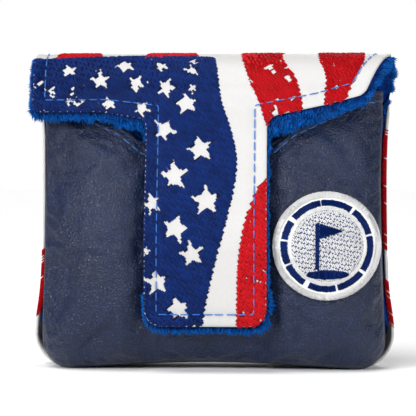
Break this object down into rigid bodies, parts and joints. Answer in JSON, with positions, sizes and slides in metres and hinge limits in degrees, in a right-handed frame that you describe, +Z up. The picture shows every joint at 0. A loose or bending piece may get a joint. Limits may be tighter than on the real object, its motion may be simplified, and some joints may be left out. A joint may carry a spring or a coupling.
{
  "type": "putter head cover",
  "caption": "Padded square mallet putter head cover: two sewn leather panels, plush lining, a T-shaped magnetic flap folding over the top, embroidery and a round patch.",
  "frame": {"origin": "on the ground under the middle of the cover's width and depth", "axes": "+Z up, -Y towards the front with the flap's tongue, +X to the right-hand side seen from the front"},
  "size_m": [0.133, 0.0531, 0.1156],
  "materials": {
    "navy_leather": "pebbled synthetic leather, semi-gloss",
    "white_leather": "smooth synthetic leather, satin",
    "blue_plush": "deep pile plush",
    "navy_embroidery": "filled embroidery, rayon thread",
    "red_embroidery": "filled embroidery, rayon thread",
    "white_embroidery": "satin stitch and twill, rayon thread",
    "blue_thread": "twisted polyester thread",
    "magnet_steel": "nickel-plated disc"
  },
  "bodies": {
    "pouch": {"front_panel": "navy_leather", "back_panel": "white_leather", "front_lining": "blue_plush", "back_lining": "blue_plush", "front_magnet": "magnet_steel", "mouth_topstitch": "blue_thread", "back_stripe_outer_left": "red_embroidery", "back_stripe_inner_left": "red_embroidery", "back_stripe_inner_right": "red_embroidery", "back_stripe_outer_right": "red_embroidery", "badge_backing": "white_embroidery", "badge_border": "white_embroidery", "badge_ring": "navy_embroidery", "badge_field": "white_embroidery", "badge_flagstick": "navy_embroidery", "badge_pennant": "navy_embroidery", "badge_green": "navy_embroidery"},
    "crown": {"crown_cover": "white_leather", "crown_lining": "blue_plush", "crown_stripe_outer_left": "red_embroidery", "crown_stripe_inner_left": "red_embroidery", "crown_stripe_inner_right": "red_embroidery", "crown_stripe_outer_right": "red_embroidery"},
    "flap": {"flap_cover": "white_leather", "flap_lining": "blue_plush", "flap_magnet": "magnet_steel", "flap_topstitch": "blue_thread", "canton_embroidery": "navy_embroidery", "tongue_stripe_embroidery": "red_embroidery", "arm_stripe_inner_embroidery": "red_embroidery", "arm_stripe_outer_embroidery": "red_embroidery"}
  },
  "joints": [
    {"name": "crown_fold", "type": "hinge", "parent": "pouch", "child": "crown", "pos_m": [0, 0.01372, 0.11165], "axis": [-1, 0, 0], "range_deg": [0, 75]},
    {"name": "flap_fold", "type": "hinge", "parent": "crown", "child": "flap", "pos_m": [0, -0.00657, 0.11165], "axis": [-1, 0, 0], "range_deg": [0, 75]}
  ],
  "couplings": [
    {"joint": "flap_fold", "follows": "crown_fold", "ratio": 1}
  ]
}
